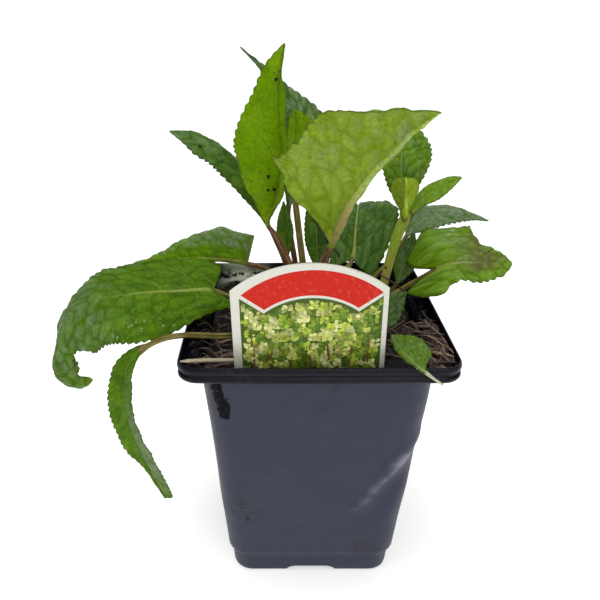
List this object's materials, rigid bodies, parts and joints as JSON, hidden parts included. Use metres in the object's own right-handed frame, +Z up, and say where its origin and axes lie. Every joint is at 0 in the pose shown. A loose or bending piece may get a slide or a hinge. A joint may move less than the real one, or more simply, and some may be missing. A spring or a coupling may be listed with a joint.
{
  "type": "potted water figwort",
  "caption": "Water figwort, a marginal pond plant with toothed, quilted leaves, in a square black nursery pot with wet soil and an arched blank plant label.",
  "frame": {"origin": "middle of the whole plant's footprint, on the plane that the pot's feet stand on", "axes": "+Z up along the pot and the stalks, -Y to the front where the label stands, +X to the right seen from the front"},
  "size_m": [0.1602, 0.1334, 0.1906],
  "materials": {
    "pot_plastic": "satin, moulded",
    "compost": "wet, crumbly",
    "label_plastic": "printed, slightly soiled",
    "leaf": "satin, quilted",
    "stem": "satin",
    "dead_stem": "dry, fibrous"
  },
  "bodies": {
    "root": {"pot": "pot_plastic", "soil": "compost", "label": "label_plastic", "leaf_left_back": "leaf", "leaf_left_front": "leaf", "leaf_hanging": "leaf", "leaf_upper_left": "leaf", "leaf_tall": "leaf", "leaf_front": "leaf", "leaf_back_tall": "leaf", "leaf_young": "leaf", "leaf_inner_low": "leaf", "leaf_inner_mid": "leaf", "leaf_back_right": "leaf", "shoot_leaf_back": "leaf", "shoot_leaf_front": "leaf", "shoot_leaf_right": "leaf", "leaf_grey": "leaf", "leaf_right": "leaf", "leaf_low_right": "leaf", "leaf_low_mid": "leaf", "fallen_leaf": "leaf", "shoot": "stem", "twig": "dead_stem", "straw": "dead_stem", "root_mat": "dead_stem"}
  },
  "joints": []
}
